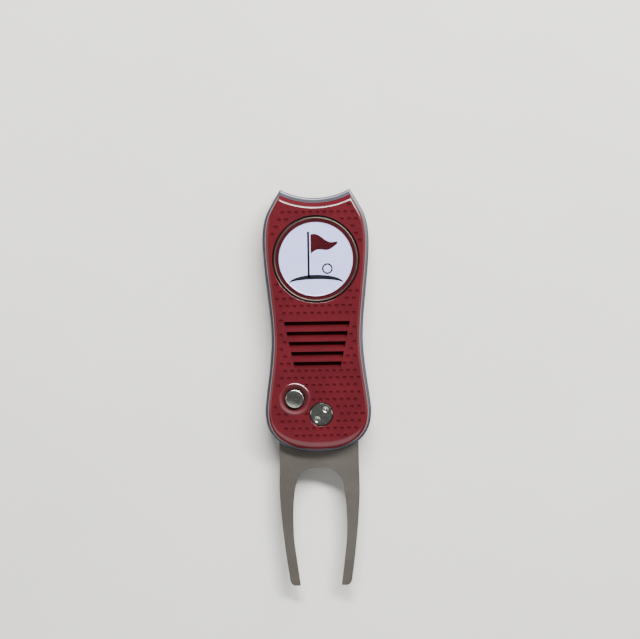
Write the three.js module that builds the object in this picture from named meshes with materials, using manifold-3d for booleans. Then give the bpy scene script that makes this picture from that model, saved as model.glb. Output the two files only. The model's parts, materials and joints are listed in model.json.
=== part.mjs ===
// Spring-action divot repair tool, lying on its back with the fork swung open.
// Millimetres. X runs across the handle, Y along it towards the marker end, Z up out of the front.
// The origin is below the middle of the whole tool, on the surface that it lies on.

import * as THREE from 'three';
import { mergeVertices } from 'three/addons/utils/BufferGeometryUtils.js';
import Module from 'manifold-3d';

const wasm = await Module();
wasm.setup();

// Driving dimensions. Lengths along the tool are counted from the pivot of the fork.
const HANDLE_REACH = 67.3;
const FORK_REACH = 51.6;
const PIVOT_X = 0.9;
const PIVOT_Y = (FORK_REACH - HANDLE_REACH) / 2;
const CLEARANCE = 0.3;

// Right-hand edge of the handle from the horn down to the middle of its round end: x, then y from the pivot.
const HANDLE_SIDE = [
  [10.4, 67.3], [12.9, 63.2], [15.0, 58.9], [15.9, 53.5], [15.7, 46.0],
  [14.75, 36.5], [13.85, 27.0], [13.75, 20.5], [14.4, 13.2], [15.4, 5.8],
  [15.85, 0.8], [15.2, -3.6], [13.0, -7.2], [9.0, -9.9], [4.6, -11.1],
];
const HANDLE_END = -11.4;
const CRADLE_RADIUS = 22.1;
const CRADLE_CENTRE = 86.8;

// Heights of the layers, from the surface that the tool lies on.
const BACK_COVER_TOP = 2.8;
const BACK_PLATE_TOP = 4.2;
const FORK_LOW = 4.6;
const FORK_HIGH = 7.2;
const FRONT_PLATE_LOW = 7.6;
const FRONT_PLATE_TOP = 9.0;
const FRONT_COVER_TOP = 12.2;
const COVER_INSET = 0.85;
const COVER_CRADLE_INSET = 1.6;
const SPINE_INSET = 0.3;

// Pivot.
const SLEEVE_RADIUS = 2.5;
const BUSH_INNER = 2.62;
const BUSH_OUTER = 3.3;
const FORK_BORE = 3.4;
const PIVOT_HEAD = 3.4;
const PIVOT_WINDOW = 3.6;
const PIVOT_TOP = 12.3;
const WASHER_THICKNESS = 0.35;
const BACK_WASHER_RADIUS = 5.2;
const TANG_RADIUS = 7.6;
const SPRING_POCKET = 4.8;
const SPRING_POCKET_DEPTH = 1.7;
const SPRING_COIL = 4.1;
const SPRING_WIRE = 0.25;

// Push button and its lock, on one axis.
const BUTTON_RADIUS_ARM = 9.2;
const BUTTON_ANGLE = THREE.MathUtils.degToRad(149.3);
const BUTTON_X = PIVOT_X + BUTTON_RADIUS_ARM * Math.cos(BUTTON_ANGLE);
const BUTTON_Y = PIVOT_Y + BUTTON_RADIUS_ARM * Math.sin(BUTTON_ANGLE);
const BUTTON_CAP_RADIUS = 2.8;
const BUTTON_CAP_LOW = 10.5;
const BUTTON_WINDOW = 3.1;
const BUTTON_TOP = 12.8;
const DISH_RADIUS = 4.4;
const DISH_SPHERE = 6.6;
const NECK_RADIUS = 1.3;
const NECK_TOP = 11.6;
const COLLAR_RADIUS = 2.2;
const COLLAR_WINDOW = 2.5;
const COLLAR_LOW = 3.3;

// Ball marker and its seat.
const MARKER_Y = PIVOT_Y + 46.3;
const MARKER_RADIUS = 12.7;
const MARKER_SEAT = 13.1;
const MARKER_LOW = 10.0;
const MARKER_HIGH = 12.0;
const MARKER_RECESS = 0.3;
const MARKER_RECESS_RADIUS = 12.15;
const ENAMEL_THICKNESS = 0.2;
const RING_OUTER = 12.05;
const RING_INNER = 11.15;
const FACE_RADIUS = 11.0;
const MAGNET_RADIUS = 5.0;

// Louvre field on the front cover.
const LOUVRES = 5;
const LOUVRE_TOP = 27.6;
const LOUVRE_PITCH = 3.0;
const LOUVRE_HEIGHT = 1.67;
const LOUVRE_FLOOR = 9.9;
const LOUVRE_LIP = 11.5;
const FIELD_TOP_HALF = 9.8;
const FIELD_BOTTOM_HALF = 6.85;

// Cover screws, driven from the back: x, then y from the pivot.
const SCREWS = [[8.0, 59.5], [-8.0, 59.5], [-11.8, 42.0], [-11.8, 8.5]];
const SCREW_SHANK = 0.6;
const SCREW_HOLE = 0.85;
const SCREW_HEAD = 1.1;
const SCREW_COUNTERBORE = 1.3;
const SCREW_SEAT = 1.5;

// Spine between the plates.
const SPINE_FACE = -10.5;
const SPINE_LOW_END = 5.0;
const TOP_BLOCK = 53.2;
const STOP_PIN = [-11.6, 3.1];
const STOP_PIN_RADIUS = 1.0;

// Fork edges: x, then y from the pivot. The outer edge runs up to the shoulders inside the handle.
const FORK_OUTER = [[11.9, -15.7], [12.0, -23.2], [11.45, -32.1], [10.5, -41.1], [9.35, -49.6]];
const FORK_SLOT = [
  [6.15, -51.6], [6.35, -50.0], [7.15, -44.0], [7.87, -38.1], [8.05, -32.1],
  [7.75, -25.5], [6.9, -20.6], [5.4, -17.9], [3.4, -16.6],
];
const SLOT_TOP = -16.3;
const TIP_CORNER = 1.6;
const LEFT_SHOULDER = 2.0;
const RIGHT_SHOULDER = -7.4;
const SCALLOP_RADIUS = 2.5;
const TAPER_START = -44.0;
const TAPER_DEPTH = 0.8;

const AXIS_SEGMENTS = 44;
const SMALL_SEGMENTS = 20;
const ABOVE = 20;

// Solids.

function solid(geometry) {
  const bare = geometry.clone();
  bare.deleteAttribute('normal');
  bare.deleteAttribute('uv');
  const merged = mergeVertices(bare, 1e-4);
  return new wasm.Manifold(new wasm.Mesh({
    numProp: 3,
    vertProperties: Float32Array.from(merged.getAttribute('position').array),
    triVerts: Uint32Array.from(merged.getIndex().array),
  }));
}

function geometryOf(body) {
  const mesh = body.getMesh();
  const geometry = new THREE.BufferGeometry();
  geometry.setAttribute('position', new THREE.BufferAttribute(mesh.vertProperties, 3));
  geometry.setIndex(new THREE.BufferAttribute(mesh.triVerts, 1));
  geometry.computeVertexNormals();
  return geometry;
}

function prism(points, low, high) {
  const shape = new THREE.Shape(points);
  const geometry = new THREE.ExtrudeGeometry(shape, { depth: high - low, bevelEnabled: false });
  return solid(geometry.translate(0, 0, low));
}

function block(x0, x1, y0, y1, z0, z1) {
  const geometry = new THREE.BoxGeometry(x1 - x0, y1 - y0, z1 - z0);
  return solid(geometry.translate((x0 + x1) / 2, (y0 + y1) / 2, (z0 + z1) / 2));
}

function cylinder(radius, low, high, x, y, segments = SMALL_SEGMENTS) {
  const geometry = new THREE.CylinderGeometry(radius, radius, high - low, segments);
  geometry.rotateX(Math.PI / 2);
  return solid(geometry.translate(x, y, (low + high) / 2));
}

// A turned piece on a vertical axis: the profile is [radius, height] from the bottom of the axis to its top.
function turned(profile, x, y, segments = SMALL_SEGMENTS) {
  const points = profile.map(([radius, height]) => new THREE.Vector2(radius, height));
  const geometry = new THREE.LatheGeometry(points, segments);
  geometry.rotateX(Math.PI / 2);
  return solid(geometry.translate(x, y, 0));
}

// A section in Y and Z, drawn out along X by equal amounts to both sides.
function bar(section, halfLength) {
  const shape = new THREE.Shape(section.map(([y, z]) => new THREE.Vector2(y, z)));
  const geometry = new THREE.ExtrudeGeometry(shape, { depth: 2 * halfLength, bevelEnabled: false });
  const toRow = new THREE.Matrix4().makeBasis(
    new THREE.Vector3(0, 1, 0),
    new THREE.Vector3(0, 0, 1),
    new THREE.Vector3(1, 0, 0),
  );
  return solid(geometry.translate(0, 0, -halfLength).applyMatrix4(toRow));
}

function wire(curve, radius, steps, sides = 8) {
  const section = new THREE.Shape().absarc(0, 0, radius, 0, 2 * Math.PI);
  return solid(new THREE.ExtrudeGeometry(section, {
    extrudePath: curve,
    steps,
    curveSegments: sides / 2,
    bevelEnabled: false,
  }));
}

function ring(inner, outer, low, high, x, y, segments = AXIS_SEGMENTS) {
  const hole = cylinder(inner, low - 1, high + 1, x, y, segments);
  return cylinder(outer, low, high, x, y, segments).subtract(hole);
}

function onRow([x, y]) {
  return new THREE.Vector2(x, y + PIVOT_Y);
}

// Handle outline.

const sideCurve = new THREE.CatmullRomCurve3([
  ...HANDLE_SIDE,
  [0, HANDLE_END],
  ...HANDLE_SIDE.map(([x, y]) => [-x, y]).reverse(),
].map(([x, y]) => new THREE.Vector3(x, y + PIVOT_Y, 0)), false, 'centripetal');

function sidePoint(t, inset) {
  const point = sideCurve.getPoint(t);
  const along = sideCurve.getTangent(t);
  return new THREE.Vector2(point.x + along.y * inset, point.y - along.x * inset);
}

// The handle's outline moved in by inset, and by cradleInset along the cradle arc between the horns.
function outline(inset, cradleInset = inset) {
  const sideSteps = 72;
  const cradleSteps = 10;
  const centre = new THREE.Vector2(0, PIVOT_Y + CRADLE_CENTRE);
  const radius = CRADLE_RADIUS + cradleInset;
  let low = 0;
  let high = 0.2;
  for (let i = 0; i < 30; i += 1) {
    const middle = (low + high) / 2;
    if (sidePoint(middle, inset).distanceTo(centre) < radius) low = middle;
    else high = middle;
  }
  const points = [];
  for (let i = 0; i <= sideSteps; i += 1) {
    points.push(sidePoint(high + (1 - 2 * high) * i / sideSteps, inset));
  }
  const horn = Math.asin(points[0].x / radius);
  for (let i = 1; i < cradleSteps; i += 1) {
    const angle = -horn + 2 * horn * i / cradleSteps;
    points.push(new THREE.Vector2(radius * Math.sin(angle), centre.y - radius * Math.cos(angle)));
  }
  return points;
}

// A cover with rounded outer edges: a bevel at both ends, then cut flat where it meets its plate.
function roundedCover(low, high, roundHigh, edgeSize, edgeHeight) {
  const geometry = new THREE.ExtrudeGeometry(new THREE.Shape(outline(COVER_INSET, COVER_CRADLE_INSET)), {
    depth: high - low,
    bevelEnabled: true,
    bevelThickness: edgeHeight,
    bevelSize: edgeSize,
    bevelOffset: -edgeSize,
    bevelSegments: 2,
  });
  const shift = roundHigh ? low - edgeHeight : low + edgeHeight;
  const body = solid(geometry.translate(0, 0, shift));
  const keep = block(-ABOVE, ABOVE, -4 * ABOVE, 4 * ABOVE, low, high);
  return body.intersect(keep);
}

function screwHoles(low, high, radius = SCREW_HOLE) {
  return SCREWS.map(([x, y]) => cylinder(radius, low, high, x, PIVOT_Y + y));
}

function cutAll(body, cutters) {
  return cutters.reduce((left, cutter) => left.subtract(cutter), body);
}

// Handle pieces.

function louvreCutters() {
  const bottom = LOUVRE_TOP - (LOUVRES - 1) * LOUVRE_PITCH - LOUVRE_HEIGHT;
  const field = prism([
    onRow([FIELD_TOP_HALF, LOUVRE_TOP]),
    onRow([-FIELD_TOP_HALF, LOUVRE_TOP]),
    onRow([-FIELD_BOTTOM_HALF, bottom]),
    onRow([FIELD_BOTTOM_HALF, bottom]),
  ], FRONT_PLATE_TOP, ABOVE);
  const cutters = [];
  for (let k = 0; k < LOUVRES; k += 1) {
    const top = PIVOT_Y + LOUVRE_TOP - k * LOUVRE_PITCH;
    const lip = top - LOUVRE_HEIGHT;
    const slot = bar([[top, ABOVE], [top, LOUVRE_FLOOR], [lip, LOUVRE_LIP], [lip, ABOVE]], ABOVE);
    cutters.push(slot.intersect(field));
  }
  return cutters;
}

// The hollow round the button, a cap of a sphere that meets the cover's top face at the dish's rim.
function buttonDish() {
  const centre = FRONT_COVER_TOP + Math.sqrt(DISH_SPHERE ** 2 - DISH_RADIUS ** 2);
  const steps = 5;
  const profile = [];
  for (let i = 0; i <= steps; i += 1) {
    const radius = DISH_RADIUS * i / steps;
    profile.push([radius, centre - Math.sqrt(DISH_SPHERE ** 2 - radius ** 2)]);
  }
  profile.push([DISH_RADIUS, ABOVE], [0, ABOVE]);
  return turned(profile, BUTTON_X, BUTTON_Y);
}

function frontCover() {
  const body = roundedCover(FRONT_PLATE_TOP, FRONT_COVER_TOP, true, 1.3, 1.0);
  return cutAll(body, [
    cylinder(MARKER_SEAT, MARKER_LOW, ABOVE, 0, MARKER_Y, AXIS_SEGMENTS),
    cylinder(MAGNET_RADIUS + 0.2, 0, ABOVE, 0, MARKER_Y, SMALL_SEGMENTS),
    cylinder(BUTTON_WINDOW, 0, ABOVE, BUTTON_X, BUTTON_Y),
    buttonDish(),
    cylinder(PIVOT_WINDOW, 0, ABOVE, PIVOT_X, PIVOT_Y),
    ...louvreCutters(),
  ]);
}

function backCover() {
  const springFloor = 1.0;
  const body = roundedCover(0, BACK_COVER_TOP, false, 0.7, 0.7);
  return cutAll(body, [
    cylinder(PIVOT_WINDOW, -1, ABOVE, PIVOT_X, PIVOT_Y),
    cylinder(COLLAR_WINDOW, springFloor, ABOVE, BUTTON_X, BUTTON_Y),
    ...screwHoles(-1, SCREW_SEAT, SCREW_COUNTERBORE),
    ...screwHoles(-1, ABOVE),
  ]);
}

function frontPlate() {
  return cutAll(prism(outline(0), FRONT_PLATE_LOW, FRONT_PLATE_TOP), [
    cylinder(SLEEVE_RADIUS + CLEARANCE, 0, ABOVE, PIVOT_X, PIVOT_Y),
    cylinder(NECK_RADIUS + CLEARANCE, 0, ABOVE, BUTTON_X, BUTTON_Y),
    cylinder(2 * SPRING_WIRE, 0, ABOVE, PIVOT_X, PIVOT_Y + SPRING_COIL, 12),
    ...screwHoles(0, ABOVE),
  ]);
}

function backPlate() {
  return cutAll(prism(outline(0), BACK_COVER_TOP, BACK_PLATE_TOP), [
    cylinder(SLEEVE_RADIUS + CLEARANCE, 0, ABOVE, PIVOT_X, PIVOT_Y),
    cylinder(COLLAR_WINDOW, 0, ABOVE, BUTTON_X, BUTTON_Y),
    ...screwHoles(0, ABOVE),
  ]);
}

function spineSpacer() {
  const full = prism(outline(SPINE_INSET), BACK_PLATE_TOP, FRONT_PLATE_LOW);
  const forkSpace = block(SPINE_FACE, ABOVE, -4 * ABOVE, PIVOT_Y + TOP_BLOCK, 0, ABOVE);
  const belowSpine = block(-ABOVE, ABOVE, -4 * ABOVE, PIVOT_Y + SPINE_LOW_END, 0, ABOVE);
  return cutAll(full, [forkSpace, belowSpine, ...screwHoles(0, ABOVE)]);
}

function coverScrew(x, y) {
  const drive = 0.3;
  const reach = 0.7;
  const headLow = 0.45;
  const depth = headLow + 0.6;
  const body = turned([
    [0, headLow], [SCREW_HEAD - 0.2, headLow], [SCREW_HEAD, headLow + 0.2], [SCREW_HEAD, SCREW_SEAT],
    [SCREW_SHANK, SCREW_SEAT], [SCREW_SHANK, 8.5], [0, 8.8],
  ], x, y);
  return cutAll(body, [
    block(x - drive / 2, x + drive / 2, y - reach, y + reach, 0, depth),
    block(x - reach, x + reach, y - drive / 2, y + drive / 2, 0, depth),
  ]);
}

// Pivot pieces.

function pivotScrew() {
  const shank = 1.2;
  const holeRadius = 0.65;
  const holeArm = 1.9;
  const holeDepth = 0.9;
  const body = turned([
    [0, 4.6], [shank, 4.6], [shank, FRONT_PLATE_TOP], [PIVOT_HEAD, FRONT_PLATE_TOP],
    [PIVOT_HEAD, PIVOT_TOP - 0.3], [PIVOT_HEAD - 0.3, PIVOT_TOP], [0, PIVOT_TOP],
  ], PIVOT_X, PIVOT_Y, AXIS_SEGMENTS);
  const turn = THREE.MathUtils.degToRad(50);
  const holes = [1, -1].map((side) => cylinder(
    holeRadius,
    PIVOT_TOP - holeDepth,
    ABOVE,
    PIVOT_X + side * holeArm * Math.cos(turn),
    PIVOT_Y + side * holeArm * Math.sin(turn),
    16,
  ));
  return cutAll(body, holes);
}

function pivotSleeve() {
  const flangeLow = 1.0;
  const threadBore = 1.5;
  const threadFloor = 4.0;
  return turned([
    [0, flangeLow], [PIVOT_HEAD - 0.4, flangeLow], [PIVOT_HEAD, flangeLow + 0.4],
    [PIVOT_HEAD, BACK_COVER_TOP], [SLEEVE_RADIUS, BACK_COVER_TOP], [SLEEVE_RADIUS, FRONT_PLATE_TOP],
    [threadBore, FRONT_PLATE_TOP], [threadBore, threadFloor], [0, threadFloor],
  ], PIVOT_X, PIVOT_Y, AXIS_SEGMENTS);
}

// The spring lies in the tang's pocket. Its upper leg stands in the front plate, its lower leg in the fork.
function torsionSpring() {
  const turns = 2.5;
  const low = FORK_HIGH - SPRING_POCKET_DEPTH + SPRING_WIRE + 0.1;
  const high = FORK_HIGH - SPRING_WIRE;
  const points = [new THREE.Vector3(PIVOT_X, PIVOT_Y - SPRING_COIL - 1.6, low)];
  const steps = turns * 10;
  for (let i = 0; i <= steps; i += 1) {
    const angle = -Math.PI / 2 + 2 * Math.PI * turns * i / steps;
    points.push(new THREE.Vector3(
      PIVOT_X + SPRING_COIL * Math.cos(angle),
      PIVOT_Y + SPRING_COIL * Math.sin(angle),
      low + (high - low) * i / steps,
    ));
  }
  points.push(new THREE.Vector3(PIVOT_X - 0.15, PIVOT_Y + SPRING_COIL, high + 0.9));
  return wire(new THREE.CatmullRomCurve3(points, false, 'centripetal'), SPRING_WIRE, 40, 6);
}

// Lock pieces.

function buttonCap() {
  const shoulder = 12.1;
  const roof = NECK_TOP + 0.2;
  const socket = NECK_RADIUS + CLEARANCE;
  const steps = 6;
  const profile = [[0, roof], [socket, roof], [socket, BUTTON_CAP_LOW], [BUTTON_CAP_RADIUS, BUTTON_CAP_LOW]];
  for (let i = 0; i < steps; i += 1) {
    const angle = i * Math.PI / 2 / steps;
    profile.push([
      BUTTON_CAP_RADIUS * Math.cos(angle),
      shoulder + (BUTTON_TOP - shoulder) * Math.sin(angle),
    ]);
  }
  profile.push([0, BUTTON_TOP]);
  return turned(profile, BUTTON_X, BUTTON_Y);
}

function lockPlunger() {
  const collarTop = COLLAR_LOW + 1.0;
  return turned([
    [0, COLLAR_LOW], [COLLAR_RADIUS, COLLAR_LOW], [COLLAR_RADIUS, collarTop],
    [NECK_RADIUS, collarTop], [NECK_RADIUS, NECK_TOP], [0, NECK_TOP],
  ], BUTTON_X, BUTTON_Y);
}

function buttonSpring() {
  const radius = 1.7;
  const turns = 3;
  const wireRadius = 0.175;
  const low = 1.0 + wireRadius;
  const high = COLLAR_LOW - 0.1 - wireRadius;
  const steps = turns * 10;
  const points = [];
  for (let i = 0; i <= steps; i += 1) {
    const angle = 2 * Math.PI * turns * i / steps;
    points.push(new THREE.Vector3(
      BUTTON_X + radius * Math.cos(angle),
      BUTTON_Y + radius * Math.sin(angle),
      low + (high - low) * i / steps,
    ));
  }
  return wire(new THREE.CatmullRomCurve3(points), wireRadius, 36, 6);
}

// Fork.

function forkOutline() {
  const edge = (points, steps) => new THREE.SplineCurve(points.map(onRow)).getPoints(steps);
  const rightEdge = edge(FORK_OUTER, 16);
  const tip = onRow([FORK_OUTER.at(-1)[0] - 0.2 - TIP_CORNER, -FORK_REACH]);
  const last = rightEdge.at(-1);
  const corner = new THREE.QuadraticBezierCurve(last, new THREE.Vector2(last.x - 0.3, tip.y), tip);
  const slotSide = edge([...FORK_SLOT, [0, SLOT_TOP]], 26);
  const right = [...rightEdge, ...corner.getPoints(5).slice(1), ...slotSide];
  const left = right.slice(0, -1).map((point) => new THREE.Vector2(-point.x, point.y)).reverse();
  return [
    onRow([FORK_OUTER[0][0], RIGHT_SHOULDER]),
    ...right,
    ...left,
    onRow([-FORK_OUTER[0][0], LEFT_SHOULDER]),
    onRow([PIVOT_X, LEFT_SHOULDER]),
    onRow([PIVOT_X, RIGHT_SHOULDER]),
  ];
}

function fork() {
  const blade = prism(forkOutline(), FORK_LOW, FORK_HIGH);
  const tang = cylinder(TANG_RADIUS, FORK_LOW, FORK_HIGH, PIVOT_X, PIVOT_Y, AXIS_SEGMENTS);
  const start = PIVOT_Y + TAPER_START;
  const end = PIVOT_Y - FORK_REACH;
  const past = end - 1;
  const slope = TAPER_DEPTH / (start - end);
  const drop = slope * (start - past);
  const spring = FORK_HIGH - SPRING_POCKET_DEPTH;
  const scallops = [1, -1].map((side) => cylinder(
    SCALLOP_RADIUS,
    0,
    ABOVE,
    PIVOT_X + side * (BUTTON_X - PIVOT_X),
    PIVOT_Y + side * (BUTTON_Y - PIVOT_Y),
  ));
  return cutAll(blade.add(tang), [
    bar([[start, FORK_HIGH], [past, FORK_HIGH - drop], [past, ABOVE], [start, ABOVE]], ABOVE),
    bar([[start, FORK_LOW], [start, 0], [past, 0], [past, FORK_LOW + drop]], ABOVE),
    cylinder(FORK_BORE, 0, ABOVE, PIVOT_X, PIVOT_Y, AXIS_SEGMENTS),
    cylinder(SPRING_POCKET, spring, ABOVE, PIVOT_X, PIVOT_Y, AXIS_SEGMENTS),
    block(PIVOT_X - 0.6, PIVOT_X + 0.6, PIVOT_Y - SPRING_COIL - 2, PIVOT_Y - SPRING_COIL, spring, ABOVE),
    ...scallops,
  ]);
}

// Marker.

function markerBody() {
  const body = turned([
    [0, MARKER_LOW], [MARKER_RADIUS - 0.2, MARKER_LOW], [MARKER_RADIUS, MARKER_LOW + 0.2],
    [MARKER_RADIUS, MARKER_HIGH - 0.2], [MARKER_RADIUS - 0.2, MARKER_HIGH], [0, MARKER_HIGH],
  ], 0, MARKER_Y, AXIS_SEGMENTS);
  return cutAll(body, [
    cylinder(MARKER_RECESS_RADIUS, MARKER_HIGH - MARKER_RECESS, ABOVE, 0, MARKER_Y, AXIS_SEGMENTS),
    cylinder(MARKER_RECESS_RADIUS, 0, MARKER_LOW + MARKER_RECESS, 0, MARKER_Y, AXIS_SEGMENTS),
  ]);
}

// Scene.

const COLOURS = {
  cover: new THREE.MeshStandardMaterial({ color: 0x74252c, roughness: 0.45, metalness: 0.0 }),
  plate: new THREE.MeshStandardMaterial({ color: 0x82808a, roughness: 0.4, metalness: 0.9 }),
  blade: new THREE.MeshStandardMaterial({ color: 0x6e6a66, roughness: 0.45, metalness: 1.0 }),
  chrome: new THREE.MeshStandardMaterial({ color: 0xc8cdc8, roughness: 0.1, metalness: 1.0 }),
  steel: new THREE.MeshStandardMaterial({ color: 0x8a8a8c, roughness: 0.35, metalness: 1.0 }),
  bronze: new THREE.MeshStandardMaterial({ color: 0xa8814a, roughness: 0.4, metalness: 1.0 }),
  magnet: new THREE.MeshStandardMaterial({ color: 0xb4b6b8, roughness: 0.3, metalness: 1.0 }),
  enamelRed: new THREE.MeshStandardMaterial({ color: 0x7c1f28, roughness: 0.25, metalness: 0.0 }),
  enamelWhite: new THREE.MeshStandardMaterial({ color: 0xd6d8e2, roughness: 0.25, metalness: 0.0 }),
};

const tool = new THREE.Group();

function place(name, body, material) {
  const mesh = new THREE.Mesh(geometryOf(body), material.clone());
  mesh.name = name;
  tool.add(mesh);
}

place('front_cover', frontCover(), COLOURS.cover);
place('back_cover', backCover(), COLOURS.cover);
place('front_plate', frontPlate(), COLOURS.plate);
place('back_plate', backPlate(), COLOURS.plate);
place('spine_spacer', spineSpacer(), COLOURS.plate);
place('stop_pin', cylinder(
  STOP_PIN_RADIUS,
  BACK_PLATE_TOP,
  FRONT_PLATE_LOW,
  PIVOT_X + STOP_PIN[0],
  PIVOT_Y + STOP_PIN[1],
), COLOURS.steel);
SCREWS.forEach(([x, y], index) => {
  place(`cover_screw_${index + 1}`, coverScrew(x, PIVOT_Y + y), COLOURS.steel);
});
place('seat_magnet', cylinder(MAGNET_RADIUS, FRONT_PLATE_TOP, 9.9, 0, MARKER_Y), COLOURS.magnet);

place('pivot_screw', pivotScrew(), COLOURS.chrome);
place('pivot_sleeve', pivotSleeve(), COLOURS.steel);
place('back_washer', ring(
  BUSH_INNER,
  BACK_WASHER_RADIUS,
  BACK_PLATE_TOP,
  BACK_PLATE_TOP + WASHER_THICKNESS,
  PIVOT_X,
  PIVOT_Y,
), COLOURS.bronze);
place('front_washer', ring(
  BUSH_INNER,
  BUSH_OUTER,
  FRONT_PLATE_LOW - WASHER_THICKNESS,
  FRONT_PLATE_LOW,
  PIVOT_X,
  PIVOT_Y,
), COLOURS.bronze);
place('torsion_spring', torsionSpring(), COLOURS.steel);

place('fork', fork(), COLOURS.blade);
place('pivot_bush', ring(BUSH_INNER, BUSH_OUTER, FORK_LOW, FORK_HIGH, PIVOT_X, PIVOT_Y), COLOURS.bronze);

place('button_cap', buttonCap(), COLOURS.chrome);
place('lock_plunger', lockPlunger(), COLOURS.steel);
place('button_spring', buttonSpring(), COLOURS.steel);

const FRONT_ENAMEL = MARKER_HIGH - MARKER_RECESS;
const BACK_ENAMEL = MARKER_LOW + MARKER_RECESS - ENAMEL_THICKNESS;
place('marker_body', markerBody(), COLOURS.steel);
for (const [side, low] of [['front', FRONT_ENAMEL], ['back', BACK_ENAMEL]]) {
  const high = low + ENAMEL_THICKNESS;
  place(`marker_${side}_ring`, ring(RING_INNER, RING_OUTER, low, high, 0, MARKER_Y), COLOURS.enamelRed);
  place(
    `marker_${side}_face`,
    cylinder(FACE_RADIUS, low, high, 0, MARKER_Y, AXIS_SEGMENTS),
    COLOURS.enamelWhite,
  );
}

export default tool;
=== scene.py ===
import json
import math

import bmesh
import bpy
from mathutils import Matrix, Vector


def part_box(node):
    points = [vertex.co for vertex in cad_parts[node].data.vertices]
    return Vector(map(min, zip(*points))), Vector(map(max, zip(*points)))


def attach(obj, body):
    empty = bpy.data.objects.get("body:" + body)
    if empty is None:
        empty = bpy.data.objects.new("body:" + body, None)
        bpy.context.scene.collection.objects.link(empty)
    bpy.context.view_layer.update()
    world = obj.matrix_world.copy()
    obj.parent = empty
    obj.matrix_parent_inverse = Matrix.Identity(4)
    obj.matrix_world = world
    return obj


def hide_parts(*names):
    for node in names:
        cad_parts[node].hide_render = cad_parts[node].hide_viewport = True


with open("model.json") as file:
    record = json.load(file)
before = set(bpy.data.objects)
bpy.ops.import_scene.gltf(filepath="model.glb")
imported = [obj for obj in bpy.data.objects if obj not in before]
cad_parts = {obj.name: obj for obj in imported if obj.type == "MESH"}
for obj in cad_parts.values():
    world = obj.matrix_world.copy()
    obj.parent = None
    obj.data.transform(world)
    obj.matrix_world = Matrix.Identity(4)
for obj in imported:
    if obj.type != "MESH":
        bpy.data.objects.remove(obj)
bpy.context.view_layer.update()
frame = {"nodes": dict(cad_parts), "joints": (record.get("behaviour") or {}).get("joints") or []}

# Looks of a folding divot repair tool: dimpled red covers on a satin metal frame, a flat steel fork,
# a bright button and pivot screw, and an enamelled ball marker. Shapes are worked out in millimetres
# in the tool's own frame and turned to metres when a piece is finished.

MM = 0.001


def lows(node):
    """The lowest corner of a node, in millimetres."""
    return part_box(node)[0] / MM


def highs(node):
    """The highest corner of a node, in millimetres."""
    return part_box(node)[1] / MM


def middle(node):
    """The middle of a node, in millimetres."""
    return (lows(node) + highs(node)) / 2


JOINTS = {joint["name"]: joint for joint in frame["joints"]}
PIVOT = Vector(JOINTS["fork_pivot"]["pos_m"]) / MM
BUTTON = middle("button_cap")
MARKER = middle("marker_body")

# Handle outline, in millimetres from the pivot, as the frame's plates have it.
HANDLE_SIDE = [
    (10.4, 67.3), (12.9, 63.2), (15.0, 58.9), (15.9, 53.5), (15.7, 46.0),
    (14.75, 36.5), (13.85, 27.0), (13.75, 20.5), (14.4, 13.2), (15.4, 5.8),
    (15.85, 0.8), (15.2, -3.6), (13.0, -7.2), (9.0, -9.9), (4.6, -11.1),
]
HANDLE_END = -11.4
CRADLE_RADIUS = 22.1
CRADLE_CENTRE = 86.8
COVER_INSET = 0.85
COVER_CRADLE_INSET = 1.6
SPINE_INSET = 0.3
SPINE_FACE = -10.5
SPINE_LOW_END = 5.0
TOP_BLOCK = 53.2

# The covers' edge drops by ROUNDING_DEPTH. It is a quarter ellipse, narrow at the sides and wide towards
# the fork. Along the cradle it is a slope that ends in a small round.
ROUNDING_DEPTH = 1.1
ROUNDING_TURNS = [0, 6, 12, 18, 25, 33, 42, 54, 64, 72, 80, 86, 90]
SIDE_ROUNDING = 1.1
END_ROUNDING = 1.5
CRADLE_SLOPE = 1.2
CRADLE_ROUND_REACH = 0.75
CRADLE_ROUND_DROP = 0.2

# Dimples moulded into the covers, in staggered rows.
DIMPLE_PITCH = 2.08
DIMPLE_ROW = 2.15
DIMPLE_START = (0.65, 5.05)
DIMPLE_MOUTH = (0.56, 0.44)
DIMPLE_FLOOR = (0.3, 0.22)
DIMPLE_DEPTH = 0.24
DIMPLE_EDGE = 1.75
DIMPLE_CRADLE_GAP = 0.5
DIMPLE_END_GAP = 0.2
DIMPLE_MARGIN = 0.7
DIMPLE_ROWS = 30
DIMPLE_COLUMNS = 8

# Louvre field.
LOUVRES = 5
LOUVRE_TOP = 27.65
LOUVRE_PITCH = 3.0
LOUVRE_HEIGHT = 1.78
LOUVRE_FLOOR = 9.5
LOUVRE_LIP = 11.4
LOUVRE_ROUND = 0.06
FIELD_TOP_HALF = 9.8
FIELD_BOTTOM_HALF = 6.85

# Holes of the covers and plates.
MARKER_SEAT = 13.1
MAGNET_HOLE = 5.2
BUTTON_WINDOW = 3.1
DISH_RADIUS = 4.4
DISH_FLOOR_RADIUS = 3.12
DISH_DEPTH = 1.1
DISH_STEEPENING = 1.7
DISH_LIP = 0.36
DISH_LIP_RISE = 0.09
DISH_LIP_SINK = 0.005
DISH_LIP_ROOT = 0.5
DISH_DIMPLE_GAP = -0.1
PIVOT_WINDOW = 3.6
COLLAR_WINDOW = 2.5
NECK_HOLE = 1.6
SLEEVE_HOLE = 2.8
SCREW_HOLE = 0.85
SCREW_COUNTERBORE = 1.3
SCREW_SEAT = 1.5

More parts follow.
